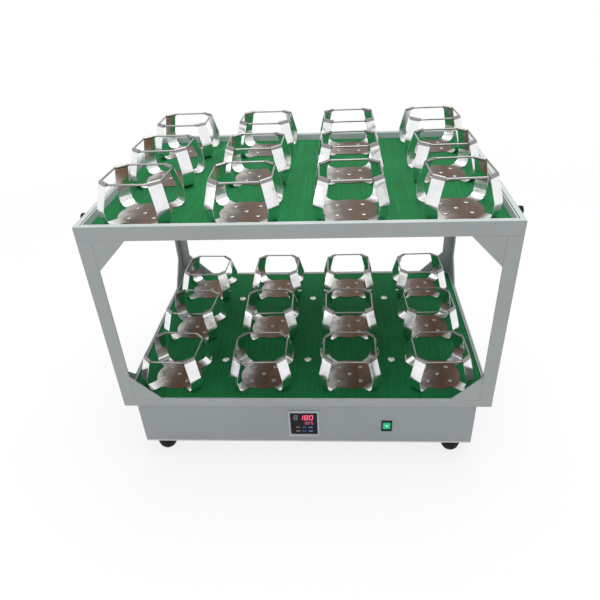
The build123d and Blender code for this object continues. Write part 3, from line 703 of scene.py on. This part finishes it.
def digit_parts(character, left, bottom, width, height, stroke, front):
    """The lit bars of one digit, slightly slanted."""
    mid = height / 2
    lower, upper = (BAR_GAP, mid - BAR_GAP), (mid + BAR_GAP, height - BAR_GAP)
    bars = {
        "a": (stroke, height - stroke, width - stroke, height),
        "g": (stroke, mid - stroke / 2, width - stroke, mid + stroke / 2),
        "d": (stroke, 0, width - stroke, stroke),
        "b": (width - stroke, upper[0], width, upper[1]),
        "c": (width - stroke, lower[0], width, lower[1]),
        "e": (0, lower[0], stroke, lower[1]),
        "f": (0, upper[0], stroke, upper[1]),
    }
    parts = []
    for bar in SEGMENTS[character]:
        x0, z0, x1, z1 = bars[bar]
        verts, faces = block((left + x0, front - BAR_PROUD, bottom + z0),
                             (left + x1, front + BAR_SUNK, bottom + z1))
        parts.append(([(x + SLANT * (z - bottom), y, z) for x, y, z in verts], faces))
    return parts


# Each digit as its character, left edge, bottom edge, width, height and stroke
UPPER_LINE = 83.2
LOWER_LINE = 72.4
DIGITS = {
    "display_digits_large": ("digit_red", [("1", -13.2, UPPER_LINE, 6.6, 12, 1.7),
                                           ("8", -4.6, UPPER_LINE, 7.2, 12, 1.7),
                                           ("0", 4.4, UPPER_LINE, 7.2, 12, 1.7)]),
    # The unlit digit, with a faint painted glow
    "display_digits_dim": ("digit_dim", [("8", -24.0, UPPER_LINE, 7.0, 12, 1.6)]),
    "display_digits_small": ("digit_small", [("0", -3.6, LOWER_LINE, 4.0, 6.6, 1.0),
                                             ("0", 1.6, LOWER_LINE, 4.0, 6.6, 1.0),
                                             ("5", 7.6, LOWER_LINE, 4.6, 6.8, 1.2)]),
}
window_front = box_mm("display_window")[0].y
for name, (material, digits) in DIGITS.items():
    parts = []
    for digit in digits:
        parts += digit_parts(*digit, window_front)
    piece = mesh_object(name, merge(parts), material)
    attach(piece, "base")

# Painted highlight on the rocker's sloping face: a small glowing dome in place of a reflection
GLINT_SLOPE = 14
GLINT_RISE = 0.6
GLINT_INSET = 2.2
GLINT_PROFILE = [(2.7, -0.4), (2.7, 0.25), (2.2, 0.5), (1.2, 0.6)]
low, high = box_mm("switch_rocker")
middle = (low + high) / 2
seat = Matrix.Translation((middle.x, low.y + GLINT_INSET, middle.z + GLINT_RISE)) @ turned("X", 90 + GLINT_SLOPE)
piece = mesh_object("rocker_painted_glint", moved(lathe(GLINT_PROFILE, 20), seat), "rocker_painted_glint", 50)
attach(piece, "rocker")

# Screws that hold the base cover to the bottom plate: three on each side and four at the back
SCREW_HEIGHT = 38
low, high = box_mm("base_housing")
places = []
for share in (0.08, 0.5, 0.92):
    y = low.y + share * (high.y - low.y)
    places += [(low.x, y, "Y", -90), (high.x, y, "Y", 90)]
for share in (0.06, 0.35, 0.65, 0.94):
    places.append((low.x + share * (high.x - low.x), high.y, "X", -90))
seats = [Matrix.Translation((x, y, SCREW_HEIGHT)) @ turned(axis, degrees) @ turned("Z", 53 * index)
         for index, (x, y, axis, degrees) in enumerate(places)]
cover_screw, cover_recess = screw_part(3.6, 1.2)
for name, part, material in (("cover_screws", cover_screw, "screw_steel"),
                             ("cover_screw_recesses", cover_recess, "screw_recess_shade")):
    piece = mesh_object(name, copies(part, seats), material, 50)
    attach(piece, "base")

# Contact blades in the mains inlet: two side by side and one above between them
INLET_DEPTH = 15
BLADE_HALF_WIDTH = 1
BLADE_HALF_HEIGHT = 2
BLADE_LENGTH = 11
BLADE_OFFSETS = [(-7, -1.5), (7, -1.5), (0, 2.5)]
low, high = box_mm("power_inlet")
middle = (low + high) / 2
floor_y = high.y - INLET_DEPTH
blades = [block((x - BLADE_HALF_WIDTH, floor_y, z - BLADE_HALF_HEIGHT),
                (x + BLADE_HALF_WIDTH, floor_y + BLADE_LENGTH, z + BLADE_HALF_HEIGHT))
          for x, z in ((middle.x + across, middle.z + up) for across, up in BLADE_OFFSETS)]
piece = mesh_object("inlet_blades", merge(blades), "pulley_metal")
bevel(piece, 0.3, 2, 40)
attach(piece, "base")


# Floor and world
def backdrop_share(tree):
    """1 for a ray from the camera, in a reflection or through glass, which sees plain white."""
    path = tree.nodes.new("ShaderNodeLightPath")
    seen = calc(tree, "ADD", path.outputs["Is Camera Ray"], path.outputs["Is Glossy Ray"], clamp=True)
    return calc(tree, "ADD", seen, path.outputs["Is Transmission Ray"], clamp=True)


def far_share(tree):
    """How plain white the floor is: less near the object, so its shadow stays, and fully so far away."""
    distance = tree.nodes.new("ShaderNodeVectorMath")
    distance.operation = "LENGTH"
    tree.links.new(object_coords(tree), distance.inputs[0])
    return remap(tree, distance.outputs["Value"], 0.5, 2.2, 0.80, 1.0)


def blend_surface(tree, share, shaded, plain, output):
    """Ends a tree in one shader that goes from shaded to plain with share."""
    blend = tree.nodes.new("ShaderNodeMixShader")
    for socket, source in zip(blend.inputs, (share, shaded, plain)):
        tree.links.new(source, socket)
    tree.links.new(blend.outputs["Shader"], tree.nodes[output].inputs["Surface"])


def make_floor():
    tree, shader = new_material("floor_pale")
    shader.inputs["Base Color"].default_value = (0.90, 0.90, 0.90, 1)
    shader.inputs["Roughness"].default_value = 0.9
    glow = tree.nodes.new("ShaderNodeEmission")
    share = calc(tree, "MULTIPLY", backdrop_share(tree), far_share(tree))
    blend_surface(tree, share, shader.outputs["BSDF"], glow.outputs["Emission"], "Material Output")
    reach = 60 / MM
    corners = [(-reach, -reach, 0), (reach, -reach, 0), (reach, reach, 0), (-reach, reach, 0)]
    floor = mesh_object("floor", (corners, [(0, 1, 2, 3)]), "floor_pale")


def make_world():
    world = bpy.data.worlds.new("studio")
    bpy.context.scene.world = world
    world.use_nodes = True
    tree = world.node_tree
    plain = tree.nodes["Background"]
    plain.inputs["Color"].default_value = (1, 1, 1, 1)
    plain.inputs["Strength"].default_value = 1.0
    ambient = tree.nodes.new("ShaderNodeBackground")
    ambient.inputs["Color"].default_value = (0.97, 0.985, 1, 1)
    ambient.inputs["Strength"].default_value = 0.55
    blend_surface(tree, backdrop_share(tree), ambient.outputs["Background"], plain.outputs["Background"],
                  "World Output")


def lamp(name, place, target, size, power):
    data = bpy.data.lights.new(name, "AREA")
    data.shape = "RECTANGLE"
    data.size, data.size_y = size
    data.energy = power
    obj = bpy.data.objects.new(name, data)
    bpy.context.scene.collection.objects.link(obj)
    obj.location = place
    obj.rotation_mode = "QUATERNION"
    obj.rotation_quaternion = (Vector(target) - Vector(place)).to_track_quat("-Z", "Y")


make_floor()
make_world()
lamp("top_light", (0.2, 0.3, 2.6), target=(0, 0, 0.3), size=(2.4, 2.0), power=52)
lamp("front_light", (-0.9, -2.2, 1.5), target=(0, 0, 0.25), size=(1.6, 1.2), power=12)

# Camera, solved from points of the photograph: angles in radians, place in metres, the rest in its pixels
PITCH = 0.60873
YAW = -0.07204
ROLL = 0.0448
CAMERA_PLACE = (0.0701, -0.9851, 0.8058)
FOCAL_LENGTH = 565.67
CENTRE_X = 310.63
CENTRE_Y = 338.16
IMAGE = 600
SENSOR_MM = 36


def camera_turn():
    """Looks along the yaw and pitch, then rolls about that line."""
    forward = Vector((sin(YAW) * cos(PITCH), cos(YAW) * cos(PITCH), -sin(PITCH)))
    level_right = Vector((cos(YAW), -sin(YAW), 0))
    level_down = forward.cross(level_right)
    right = cos(ROLL) * level_right + sin(ROLL) * level_down
    down = -sin(ROLL) * level_right + cos(ROLL) * level_down
    return Matrix((right, -down, -forward)).transposed().to_quaternion()


camera_data = bpy.data.cameras.new("camera")
camera_data.sensor_width = SENSOR_MM
camera_data.lens = SENSOR_MM * FOCAL_LENGTH / IMAGE
camera_data.shift_x = (IMAGE / 2 - CENTRE_X) / IMAGE
camera_data.shift_y = (CENTRE_Y - IMAGE / 2) / IMAGE
camera_data.clip_start = 0.05
camera_data.clip_end = 120
camera = bpy.data.objects.new("camera", camera_data)
bpy.context.scene.collection.objects.link(camera)
camera.rotation_mode = "QUATERNION"
camera.rotation_quaternion = camera_turn()
camera.location = CAMERA_PLACE
bpy.context.scene.camera = camera
bpy.context.scene.view_settings.view_transform = "Standard"
